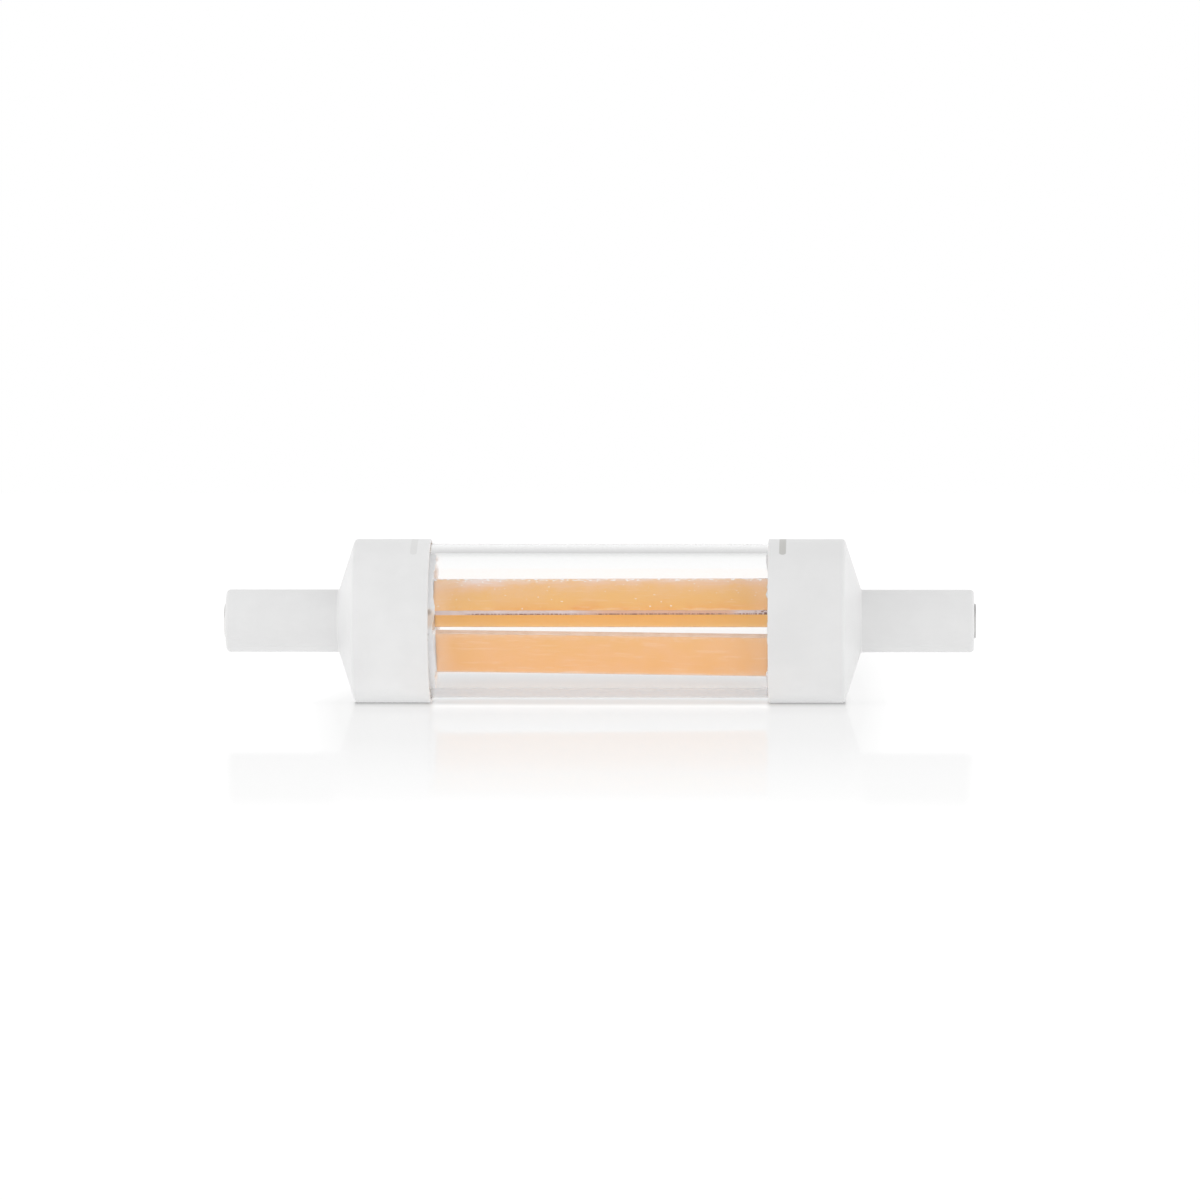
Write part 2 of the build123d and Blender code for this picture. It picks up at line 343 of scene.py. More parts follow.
# The seals' two tones, and the marks on the left one: place, softness of the edge, reach and colour
SEAL_TONES = ((245, 246, 248), (253, 253, 254))
SEAL_SPOTS = (
    ((-17.4 * MM, -6.9 * MM, 0.3 * MM), 0.9 * MM, 0.4 * MM, (240, 220, 204)),
    ((-17.45 * MM, -6.9 * MM, 0.95 * MM), 0.35 * MM, 0.1 * MM, (196, 178, 164)),
    ((-17.6 * MM, -6.8 * MM, -1.2 * MM), 0.1 * MM, 0.1 * MM, (104, 92, 84)),
    ((-17.6 * MM, -6.7 * MM, -1.75 * MM), 0.1 * MM, 0.07 * MM, (112, 100, 92)),
)


# Mesh helpers
def add_mesh(name, bm, material):
    mesh = bpy.data.meshes.new(name)
    bmesh.ops.recalc_face_normals(bm, faces=bm.faces)
    bm.to_mesh(mesh)
    bm.free()
    mesh.shade_smooth()
    mesh.set_sharp_from_angle(angle=SMOOTH_ANGLE)
    mesh.materials.append(material)
    piece = bpy.data.objects.new(name, mesh)
    bpy.context.scene.collection.objects.link(piece)
    return piece


def place_for(piece, node_name):
    """The piece stands for a node of the part: it hangs from the root body, and the node is hidden."""
    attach(piece, "root")
    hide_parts(node_name)


def rounded(outline, radii):
    """The outline's points, with an arc at each corner that has a radius. A point just before and just
    after each arc keeps the smooth shading off the straight parts."""
    points = []
    for i, corner in enumerate(outline):
        here = Vector(corner)
        radius = radii.get(i, 0)
        if not radius:
            points.append(tuple(here))
            continue
        back = (Vector(outline[i - 1]) - here).normalized()
        ahead = (Vector(outline[(i + 1) % len(outline)]) - here).normalized()
        half = back.angle(ahead) / 2
        centre = here + (back + ahead).normalized() * radius / math.sin(half)
        start = here + back * radius / math.tan(half) - centre
        end = here + ahead * radius / math.tan(half) - centre
        sweep = start.angle(end)
        reach = radius / math.tan(half) + ARC_REST
        points.append(tuple(here + back * reach))
        for step in range(ARC_STEPS + 1):
            share = step / ARC_STEPS
            arm = start * math.sin((1 - share) * sweep) + end * math.sin(share * sweep)
            points.append(tuple(centre + arm / math.sin(sweep)))
        points.append(tuple(here + ahead * reach))
    return points


def lathe(name, profile, side, material, steps=TURN_STEPS, wander=None):
    """A closed profile of (x, radius) points turned about the bulb's axis, mirrored for the left end."""
    bm = bmesh.new()
    rings = []
    for step in range(steps):
        angle = 2 * math.pi * step / steps
        ring = []
        for i, (x, radius) in enumerate(profile):
            if wander:
                x, radius = wander(i, x, radius, angle)
            ring.append(bm.verts.new((side * x, radius * math.cos(angle), radius * math.sin(angle))))
        rings.append(ring)
    count = len(profile)
    for step in range(steps):
        ring, after = rings[step], rings[(step + 1) % steps]
        for i in range(count):
            j = (i + 1) % count
            bm.faces.new((ring[i], ring[j], after[j], after[i]))
    bmesh.ops.remove_doubles(bm, verts=bm.verts, dist=1e-8)
    return add_mesh(name, bm, material)


# Shader helpers
def feed(tree, socket, value):
    if hasattr(value, "links"):
        tree.links.new(value, socket)
    else:
        socket.default_value = value


def node(tree, kind, values=None, **settings):
    made = tree.nodes.new("ShaderNode" + kind)
    for key, value in settings.items():
        setattr(made, key, value)
    for key, value in (values or {}).items():
        feed(tree, made.inputs[key], value)
    return made


def math_node(tree, operation, first, second=0.0, third=0.0):
    return node(tree, "Math", {0: first, 1: second, 2: third}, operation=operation).outputs[0]


def step_between(tree, value, low, high, out_low=0.0, out_high=1.0):
    """A smooth step: out_low where value is at low, out_high where it is at high."""
    made = node(
        tree,
        "MapRange",
        {"Value": value, "From Min": low, "From Max": high, "To Min": out_low, "To Max": out_high},
        interpolation_type="SMOOTHSTEP",
    )
    return made.outputs["Result"]


def mix_colour(tree, factor, first, second):
    made = node(tree, "Mix", data_type="RGBA")
    for socket, value in zip((made.inputs[0], made.inputs[6], made.inputs[7]), (factor, first, second)):
        feed(tree, socket, value)
    return made.outputs[2]


def length_node(tree, first, second):
    """The length of the way that goes first and second at right angles."""
    way = node(tree, "CombineXYZ", {"X": first, "Y": second}).outputs[0]
    return node(tree, "VectorMath", {0: way}, operation="LENGTH").outputs["Value"]


def bulb_place(tree):
    """A point's place on the bulb, as X, Y and Z."""
    return node(tree, "SeparateXYZ", {0: node(tree, "TexCoord").outputs["Object"]}).outputs


def ramp_node(tree, value, stops):
    """A colour ramp with (place, colour) stops."""
    made = node(tree, "ValToRGB", {"Fac": value})
    elements = made.color_ramp.elements
    while len(elements) < len(stops):
        elements.new(0.5)
    for element, (place, colour) in zip(elements, stops):
        element.position = place
        element.color = colour
    return made.outputs["Color"]


def grey(level):
    return (level, level, level, 1.0)


def seen(red, green, blue):
    """A colour as it shows on screen, from 0 to 255, turned into the shader's linear one."""
    parts = []
    for level in (red, green, blue):
        share = level / 255
        parts.append(share / 12.92 if share <= 0.04045 else ((share + 0.055) / 1.055) ** 2.4)
    return (*parts, 1.0)


def grey_ramp(tree, value, stops):
    return ramp_node(tree, value, [(at, grey(level)) for at, level in stops])


def new_group(name, inputs, outputs):
    group = bpy.data.node_groups.new(name, "ShaderNodeTree")
    for label, kind in inputs:
        group.interface.new_socket(label, in_out="INPUT", socket_type=kind)
    for label, kind in outputs:
        group.interface.new_socket(label, in_out="OUTPUT", socket_type=kind)
    return group, group.nodes.new("NodeGroupInput"), group.nodes.new("NodeGroupOutput")


def use_group(tree, group, values):
    made = tree.nodes.new("ShaderNodeGroup")
    made.node_tree = group
    for key, value in values.items():
        feed(tree, made.inputs[key], value)
    return made


def new_material(name, values):
    """A material with one Principled shader, its plain values set on the shader's own sockets."""
    material = bpy.data.materials.new(name)
    material.use_nodes = True
    tree = material.node_tree
    shader = tree.nodes["Principled BSDF"]
    for key, value in values.items():
        shader.inputs[key].default_value = value
    return material, tree, shader


def give_surface(tree, shader, colour, height, strength, reach):
    """Gives a shader its colour and a fine relief."""
    relief = node(tree, "Bump", {"Strength": strength, "Distance": reach, "Height": height})
    feed(tree, shader.inputs["Base Color"], colour)
    feed(tree, shader.inputs["Normal"], relief.outputs["Normal"])


# Effects that several materials share
def make_mottle_group():
    """Soft patches between two colours, and a fine grain to use as height."""
    group, entry, leave = new_group(
        "Mottle",
        (
            ("Low Color", "NodeSocketColor"),
            ("High Color", "NodeSocketColor"),
            ("Patch Scale", "NodeSocketFloat"),
            ("Grain Scale", "NodeSocketFloat"),
        ),
        (("Color", "NodeSocketColor"), ("Patch", "NodeSocketFloat"), ("Grain", "NodeSocketFloat")),
    )
    place = node(group, "TexCoord").outputs["Object"]
    patch_scale = entry.outputs["Patch Scale"]
    grain_scale = entry.outputs["Grain Scale"]
    patch = node(group, "TexNoise", {"Vector": place, "Scale": patch_scale, "Detail": 4.0, "Roughness": 0.6})
    grain = node(group, "TexNoise", {"Vector": place, "Scale": grain_scale, "Detail": 2.0})
    spread = step_between(group, patch.outputs["Fac"], 0.3, 0.7)
    colour = mix_colour(group, spread, entry.outputs["Low Color"], entry.outputs["High Color"])
    feed(group, leave.inputs["Color"], colour)
    feed(group, leave.inputs["Patch"], spread)
    feed(group, leave.inputs["Grain"], grain.outputs["Fac"])
    return group


def make_strip_place_group():
    """Where a point lies on a strip: along it, across it from -1 to 1, and how far out of its ring."""
    group, entry, leave = new_group(
        "Strip place",
        (("Turn", "NodeSocketFloat"), ("Slide", "NodeSocketFloat")),
        (("Along", "NodeSocketFloat"), ("Across", "NodeSocketFloat"), ("Out", "NodeSocketFloat")),
    )
    place = bulb_place(group)
    y = place["Y"]
    z = math_node(group, "ADD", place["Z"], RING_DROP)
    cosine = math_node(group, "COSINE", entry.outputs["Turn"])
    sine = math_node(group, "SINE", entry.outputs["Turn"])
    out_y = math_node(group, "MULTIPLY", y, cosine)
    out = math_node(group, "MULTIPLY_ADD", z, sine, out_y)
    side_y = math_node(group, "MULTIPLY", y, sine)
    sideways = math_node(group, "SUBTRACT", math_node(group, "MULTIPLY", z, cosine), side_y)
    sideways = math_node(group, "SUBTRACT", sideways, entry.outputs["Slide"])
    feed(group, leave.inputs["Along"], place["X"])
    feed(group, leave.inputs["Across"], math_node(group, "DIVIDE", sideways, STRIP_WIDTH / 2))
    feed(group, leave.inputs["Out"], out)
    return group


MOTTLE = make_mottle_group()
STRIP_PLACE = make_strip_place_group()


def mottled(name, values, low, high, patch_scale, grain_scale, bump, bump_reach):
    """A material whose colour and relief come from the shared mottle."""
    material, tree, shader = new_material(name, values)
    mottle = use_group(tree, MOTTLE, {
        "Low Color": seen(*low),
        "High Color": seen(*high),
        "Patch Scale": patch_scale,
        "Grain Scale": grain_scale,
    })
    give_surface(tree, shader, mottle.outputs["Color"], mottle.outputs["Grain"], bump, bump_reach)
    return material


def strip_place(tree, strip):
    return use_group(tree, STRIP_PLACE, {"Turn": strip["turn"], "Slide": strip["slide"]}).outputs


def stretched(tree, place, scales):
    """A point's place on a strip as a vector, each part of it stretched by its own scale."""
    parts = {axis: math_node(tree, "MULTIPLY", place[way], scale) for axis, way, scale in scales}
    return node(tree, "CombineXYZ", parts).outputs[0]


def left_tip(strip):
    """Where a strip's coats begin, beyond its bare left end."""
    return CAGE_SHIFT + strip["bare"] - COAT_OVERRUN - HOLDER_REACH


# Materials
def cap_material(side_name):
    """Satin white, with a plain grey bar round the top near the rim. The right cap's white is a shade
    greyer: painted shade of the weaker light at that end.
    """
    material, tree, shader = new_material(f"{side_name} cap white", {"Roughness": 0.42})
    mottle = use_group(tree, MOTTLE, {
        "Low Color": grey(CAP_WHITE_AND_SHADE[side_name][0]),
        "High Color": grey(CAP_WHITE_AND_SHADE[side_name][1]),
        "Patch Scale": 160.0,
        "Grain Scale": 5200.0,
    })
    place = bulb_place(tree)
    turn = math_node(tree, "ARCTAN2", math_node(tree, "MULTIPLY", place["Y"], -1.0), place["Z"])
    from_middle = math_node(tree, "ABSOLUTE", math_node(tree, "SUBTRACT", turn, (BAR_START + BAR_END) / 2))
    past_end = math_node(tree, "SUBTRACT", from_middle, (BAR_END - BAR_START) / 2)
    past_end = math_node(tree, "MAXIMUM", math_node(tree, "MULTIPLY", past_end, CAP_RADIUS), 0.0)
    aside = math_node(tree, "SUBTRACT", place["X"], BAR_X[side_name])
    off_bar = length_node(tree, aside, past_end)
    off_axis = length_node(tree, place["Y"], place["Z"])
    ink = step_between(tree, off_bar, BAR_HALF_WIDTH + 0.05 * MM, BAR_HALF_WIDTH - 0.03 * MM)
    skin = step_between(tree, off_axis, CAP_RADIUS - 0.1 * MM, CAP_RADIUS - 0.05 * MM)
    ink = math_node(tree, "MULTIPLY", math_node(tree, "MULTIPLY", ink, skin), BAR_SHADE[side_name])
    colour = mix_colour(tree, ink, mottle.outputs["Color"], seen(*BAR_TONE))
    give_surface(tree, shader, colour, mottle.outputs["Grain"], 0.1, 0.02 * MM)
    return material


def glass_material():
    """Clear glass. Light on its way to a lamp or from a matt surface goes straight through, and so it
    does at the very edge of the tube."""
    material, tree, shader = new_material("clear glass", {
        "Base Color": (0.998, 0.999, 0.998, 1),
        "Roughness": 0.0,
        "IOR": 1.5,
        "Transmission Weight": 1.0,
    })
    paths = node(tree, "LightPath").outputs
    through = math_node(tree, "MAXIMUM", paths["Is Shadow Ray"], paths["Is Diffuse Ray"])
    place = bulb_place(tree)
    off_axis = length_node(tree, place["Y"], place["Z"])
    outside = step_between(tree, off_axis, TUBE_RADIUS - 0.6 * GLASS_WALL, TUBE_RADIUS - 0.4 * GLASS_WALL)
    facing = node(tree, "LayerWeight", {"Blend": 0.5}).outputs["Facing"]
    edge = math_node(tree, "MULTIPLY", step_between(tree, facing, GLASS_EDGE_START, GLASS_EDGE_FULL), outside)
    through = math_node(tree, "MAXIMUM", through, edge)
    mixed = node(tree, "MixShader", {0: through})
    tree.links.new(shader.outputs[0], mixed.inputs[1])
    tree.links.new(node(tree, "BsdfTransparent").outputs[0], mixed.inputs[2])
    tree.links.new(mixed.outputs[0], tree.nodes["Material Output"].inputs["Surface"])
    return material


def coat_material(strip_name, face_name):
    """Phosphor in silicone, streaked along the strip and paler at both ends, partly painted light that lifts
    the shade by the holders. Its white left end, its white specks near the upper edge and the inner coats'
    glow are
    painted light: the end lifts the shade by the holder, the specks are a painted sheen, and the glow lifts
    the shade inside the tube.
    """
    material, tree, shader = new_material(f"{strip_name} {face_name} phosphor", {"Roughness": 0.34})
    # Inner coats glow: painted light that lifts them in the shade inside the tube
    if face_name == "inner":
        shader.inputs["Emission Color"].default_value = seen(*INNER_GLOW_TONE)
        shader.inputs["Emission Strength"].default_value = INNER_GLOW
    strip = STRIPS[strip_name]
    place = strip_place(tree, strip)
    mottle = use_group(tree, MOTTLE, {
        "Low Color": grey(0.0),
        "High Color": grey(1.0),
        "Patch Scale": 330.0,
        "Grain Scale": 2600.0,
    })
    run = stretched(tree, place, STREAK_SCALES)
    streaks = node(tree, "TexNoise", {"Vector": run, "Scale": 3.0, "Detail": 5.0, "Roughness": 0.65})
    streaks = streaks.outputs["Fac"]
    drift = math_node(tree, "SUBTRACT", streaks, 0.5)
    depth = math_node(tree, "MULTIPLY_ADD", drift, STREAK_DRIFT, place["Across"])
    depth = math_node(tree, "MULTIPLY_ADD", depth, 0.5, 0.5)
    thin, even = MARGIN_SHIFT[strip_name]
    left_share = step_between(tree, place["Along"], -COAT_REACH, 0.0, 1.0, 0.0)
    depth = math_node(tree, "SUBTRACT", depth, math_node(tree, "MULTIPLY_ADD", left_share, thin, even))
    look = COAT_LOOKS.get((strip_name, face_name), OUTER_LOOK)
    colour = ramp_node(tree, depth, [(at, seen(*tone)) for at, tone in look["tones"]])
    cloud = math_node(tree, "MULTIPLY", mottle.outputs["Patch"], CLOUD_SHARE)
    colour = mix_colour(tree, cloud, colour, seen(*look["cloud"]))
    shine = step_between(tree, streaks, SHINE_START, SHINE_FULL, 0.0, SHINE_SHARE)
    colour = mix_colour(tree, shine, colour, seen(*SHINE_TONE))
    # Paler ends: partly the coats' own paler ends, partly painted light that lifts the shade by the holders
    pale = [step_between(tree, place["Along"], low, high, 0.0, share) for low, high, share in PALE_LIT_ENDS]
    colour = mix_colour(tree, math_node(tree, "MAXIMUM", *pale), colour, seen(*PALE_LIT_TONE))
    tip_x = left_tip(strip)
    # White where the coats begin: painted light that lifts the shade by the holder
    tip_light = step_between(tree, place["Along"], tip_x + TIP_START, tip_x, 0.0, TIP_LIGHT_SHARE)
    colour = mix_colour(tree, tip_light, colour, seen(*TIP_LIGHT_TONE))
    # White specks near the upper edge: a painted sheen
    spread = stretched(tree, place, SHEEN_SPECK_SCALES)
    specks = node(tree, "TexNoise", {"Vector": spread, "Scale": 1.0, "Detail": 2.0}).outputs["Fac"]
    upper = step_between(tree, place["Across"], *SHEEN_SPECK_ZONE)
    limit = math_node(tree, "MULTIPLY_ADD", upper, SHEEN_SPECK_EASE, SHEEN_SPECK_LIMIT)
    specks = math_node(tree, "MULTIPLY", math_node(tree, "SUBTRACT", specks, limit), SHEEN_SPECK_SHARPNESS)
    specks = math_node(tree, "MINIMUM", math_node(tree, "MAXIMUM", specks, 0.0), SHEEN_FLECKS[strip_name])
    colour = mix_colour(tree, specks, colour, seen(*SHEEN_SPECK_TONE))
    height = math_node(tree, "MULTIPLY_ADD", streaks, 0.6, mottle.outputs["Grain"])
    give_surface(tree, shader, colour, height, 0.35, 0.04 * MM)
    return material


def base_material(strip_name):
    """Pale ceramic with a bare left end painted white, painted light that lifts the shade between the holder
    and the coat. Its snapped edge has the dots of the scribed line on its inner side, a tan stretch of
    painted orange light showing through the edge, and burnt marks near the right end."""
    strip = STRIPS[strip_name]
    look = BASE_LOOKS[strip_name]
    material, tree, shader = new_material(f"{strip_name} strip ceramic", {"Roughness": 0.5})
    place = strip_place(tree, strip)
    mottle = use_group(tree, MOTTLE, {
        "Low Color": seen(*look["low"]),
        "High Color": seen(*look["high"]),
        "Patch Scale": 700.0,
        "Grain Scale": 3200.0,
    })
    along = place["Along"]
    dots = node(tree, "TexNoise", {"W": along, "Scale": DOT_SCALE, "Detail": 0.0}, noise_dimensions="1D")
    runs = node(tree, "TexNoise", {"W": along, "Scale": DOT_RUN_SCALE, "Detail": 2.0}, noise_dimensions="1D")
    dark = step_between(tree, dots.outputs["Fac"], 0.4, 0.5)
    faint = step_between(tree, runs.outputs["Fac"], 0.3, 0.5, 0.35, 1.0)
    faint = math_node(tree, "MULTIPLY", faint, step_between(tree, along, SCRIBE_START, SCRIBE_FULL))
    lean = strip["spread"] / STRIP_SPAN
    middle = math_node(tree, "MULTIPLY_ADD", along, lean, RING_DISTANCE + strip["shift"])
    below = math_node(tree, "SUBTRACT", place["Out"], middle)
    inner = step_between(tree, below, SCRIBE_HIGH, SCRIBE_LOW)
    scribe = math_node(tree, "MULTIPLY", math_node(tree, "MULTIPLY", dark, faint), inner)
    scribe = math_node(tree, "MULTIPLY", scribe, look["scribe"])
    # The tan stretch: painted orange light showing through the edge
    tan = step_between(tree, along, TAN_START, TAN_FULL, 0.0, TAN_LIGHT_SHARE * look["scribe"])
    tan = math_node(tree, "MULTIPLY", tan, step_between(tree, along, TAN_END, TAN_FADE))
    colour = mix_colour(tree, tan, mottle.outputs["Color"], seen(*TAN_LIGHT_TONE))
    colour = mix_colour(tree, scribe, colour, seen(*DOT_TONE))
    burn = step_between(tree, mottle.outputs["Grain"], 0.47, 0.53)
    burn = math_node(tree, "MULTIPLY", burn, step_between(tree, along, BURN_START, BURN_FULL))
    burn = math_node(tree, "MULTIPLY", burn, look["scribe"])
    colour = mix_colour(tree, burn, colour, seen(*BURN_TONE))
    tip_x = left_tip(strip)
    # The bare left end painted white: painted light that lifts the shade between the holder and the coat
    bare = step_between(tree, along, tip_x + TIP_START, tip_x)
    colour = mix_colour(tree, bare, colour, seen(*BARE_LIGHT_TONE))
    feed(tree, shader.inputs["Base Color"], colour)
    return material


def seal_material(side_name):
    """Milky silicone. The left one has two pale stains and two dark specks at the front."""
    name = f"{side_name} seal silicone"
    material = mottled(name, {"Roughness": 0.35}, *SEAL_TONES, 900.0, 2500.0, 0.5, 0.05 * MM)
    if side_name == "right":
        return material
    tree = material.node_tree
    shader = tree.nodes["Principled BSDF"]
    place = node(tree, "TexCoord").outputs["Object"]
    colour = shader.inputs["Base Color"].links[0].from_socket
    for spot, soft, reach, tone in SEAL_SPOTS:
        off_spot = node(tree, "VectorMath", {0: place, 1: spot}, operation="DISTANCE").outputs["Value"]
        share = step_between(tree, off_spot, reach + soft, reach)
        colour = mix_colour(tree, share, colour, seen(*tone))
    feed(tree, shader.inputs["Base Color"], colour)
    return material


def plain_material(name, low, high, roughness, metallic=0.0):
    values = {"Roughness": roughness, "Metallic": metallic}
    return mottled(name, values, low, high, 700.0, 9000.0, 0.2, 0.02 * MM)


GLASS = glass_material()
SEALS = {side_name: seal_material(side_name) for side_name in SIDES}
CONTACTS = {
    "left": plain_material("left contact metal", (222, 222, 221), (232, 231, 230), 0.3, 1.0),
    "right": plain_material("right contact metal", (188, 187, 186), (205, 204, 203), 0.34, 1.0),
}
TINNED = plain_material("tinned metal", (188, 187, 184), (206, 205, 202), 0.3, 1.0)
HOLDER = plain_material("holder white", (216, 221, 230), (228, 232, 240), 0.5)
BOARD = plain_material("board laminate", (228, 230, 226), (238, 239, 236), 0.4)
CHIP = plain_material("chip case", (30, 30, 32), (42, 42, 44), 0.45)
RESISTOR = plain_material("resistor case", (48, 48, 50), (60, 60, 62), 0.35)
FUSE = plain_material("fuse coating", (128, 160, 142), (140, 172, 152), 0.3)
WIRE = plain_material("wire sleeve", (232, 232, 230), (240, 240, 238), 0.4)
CAPS = {side_name: cap_material(side_name) for side_name in SIDES}
COATS = {name: {face: coat_material(name, face) for face in FACES} for name in STRIPS}


def dress(name, material):
    """Gives a node of the part its material."""
    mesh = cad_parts[name].data
    mesh.materials.clear()
    mesh.materials.append(material)


def dress_nodes():
    for side_name in SIDES:
        dress(f"{side_name}_end_cap", CAPS[side_name])
        dress(f"{side_name}_contact", CONTACTS[side_name])
        dress(f"{side_name}_strip_holder", HOLDER)
        dress(f"{side_name}_tube_seal", SEALS[side_name])
        for name in STRIPS:
            dress(f"{name}_{side_name}_tab", TINNED)
    for name in STRIPS:
        dress(f"{name}_strip_base", base_material(name))
        for face_name in FACES:
            dress(f"{name}_{face_name}_phosphor", COATS[name][face_name])
    dress("glass_tube", GLASS)
    dress("driver_board", BOARD)
    dress("link_board", BOARD)
    dress("bridge_rectifier", CHIP)
    dress("driver_chip", CHIP)
    dress("sense_resistor", RESISTOR)
    dress("fuse_resistor", FUSE)
    dress("right_lead", TINNED)
    dress("return_wire", WIRE)


# Pieces turned about the bulb's axis
def make_cap(side_name):
    ledge_x = TUBE_END_X + BOARD_RECESS
    chamber_x = ledge_x + CHAMBER_DEPTH
    recess_x = TIP_X - CONTACT_SUNK
    grip_x = recess_x - PIN_GRIP
    outline = [
        (RIM_X, SOCKET_RADIUS),
        (RIM_X, CAP_RADIUS),
        (CORNER_X, CAP_RADIUS),
        (ROOT_X, STUB_RADIUS),
        (TIP_X, STUB_RADIUS),
        (TIP_X, CONTACT_RADIUS + FIT_GAP),
        (recess_x, CONTACT_RADIUS + FIT_GAP),
        (recess_x, SHANK_RADIUS + FIT_GAP),
        (grip_x, SHANK_RADIUS + FIT_GAP),
        (grip_x, WIRE_BORE_RADIUS),
        (chamber_x + BORE_LEAD_IN, WIRE_BORE_RADIUS),
        (chamber_x, WIRE_BORE_RADIUS + BORE_LEAD_IN),
        (chamber_x, CHAMBER_RADIUS),
        (ledge_x, CHAMBER_RADIUS),
        (ledge_x, SEAT_RADIUS),
        (TUBE_END_X, SEAT_RADIUS),
        (TUBE_END_X, SOCKET_RADIUS),
    ]
    profile = rounded(outline, CAP_ROUNDING)
    cap = lathe(f"{side_name}_cap_shell", profile, SIDES[side_name], CAPS[side_name])
    place_for(cap, f"{side_name}_end_cap")


def make_contact(side_name):
    face_x = CONTACT_HIGH[0]
    recess_x = TIP_X - CONTACT_SUNK
    outline = [
        (CONTACT_LOW[0], 0.0),
        (CONTACT_LOW[0], SHANK_RADIUS),
        (recess_x, SHANK_RADIUS),
        (recess_x, CONTACT_RADIUS),
        (face_x, CONTACT_RADIUS),
        (face_x, 0.0),
    ]
    profile = rounded(outline, CONTACT_ROUNDING)
    pin = lathe(f"{side_name}_contact_pin", profile, SIDES[side_name], CONTACTS[side_name], PIN_STEPS)
    place_for(pin, f"{side_name}_contact")


def make_tube():
    bore = TUBE_RADIUS - GLASS_WALL
    outline = [(-TUBE_END_X, bore), (-TUBE_END_X, TUBE_RADIUS), (TUBE_END_X, TUBE_RADIUS), (TUBE_END_X, bore)]
    profile = rounded(outline, TUBE_ROUNDING)
    tube = lathe("glass_tube_wall", profile, 1, GLASS, TUBE_STEPS)
    place_for(tube, "glass_tube")


def make_seal(side_name):
    """A ring of silicone pressed out between the holder and the glass, its bead uneven all round."""
    low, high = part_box(f"{side_name}_tube_seal")
    bead_x = min(abs(low[0]), abs(high[0]))
    back_x = max(abs(low[0]), abs(high[0]))
    face_x = bead_x + SEAL_BEAD
    inner = HOLDER_RADIUS + SEAL_CLEAR
    bead_depth = SEAL_RADIUS - HOLDER_RADIUS + SEAL_LAP
    profile = [(face_x, inner), (back_x, inner), (back_x, SEAL_RADIUS), (face_x, SEAL_RADIUS)]
    still = len(profile)
    for step in range(BEAD_STEPS + 1):
        sweep = math.pi / 2 * step / BEAD_STEPS
        profile.append((
            face_x - SEAL_BEAD * math.cos(sweep),
            SEAL_RADIUS - bead_depth * math.sin(sweep),
        ))

    def uneven(i, x, radius, angle):
        if i < still:
            return x, radius
        spot = Vector((math.cos(angle) * 3, math.sin(angle) * 3, SIDES[side_name] * 5))
        swell = 0.5 + noise.noise(spot) + 0.5 * noise.noise(spot * 4)
        press = 1 - BEAD_DENT * max(0.0, min(1.0, swell))
        deep = BEAD_KEPT + BEAD_PRESSED * press
        return face_x - (face_x - x) * press, SEAL_RADIUS - (SEAL_RADIUS - radius) * deep

    seal = lathe(f"{side_name}_seal_bead", profile, SIDES[side_name], SEALS[side_name], SEAL_STEPS, uneven)
    place_for(seal, f"{side_name}_tube_seal")


# Phosphor coats
def toward_edges(share, power):
    """Spaces an even share from -1 to 1 more closely towards both ends."""
    return math.copysign(1 - (1 - abs(share)) ** power, share)


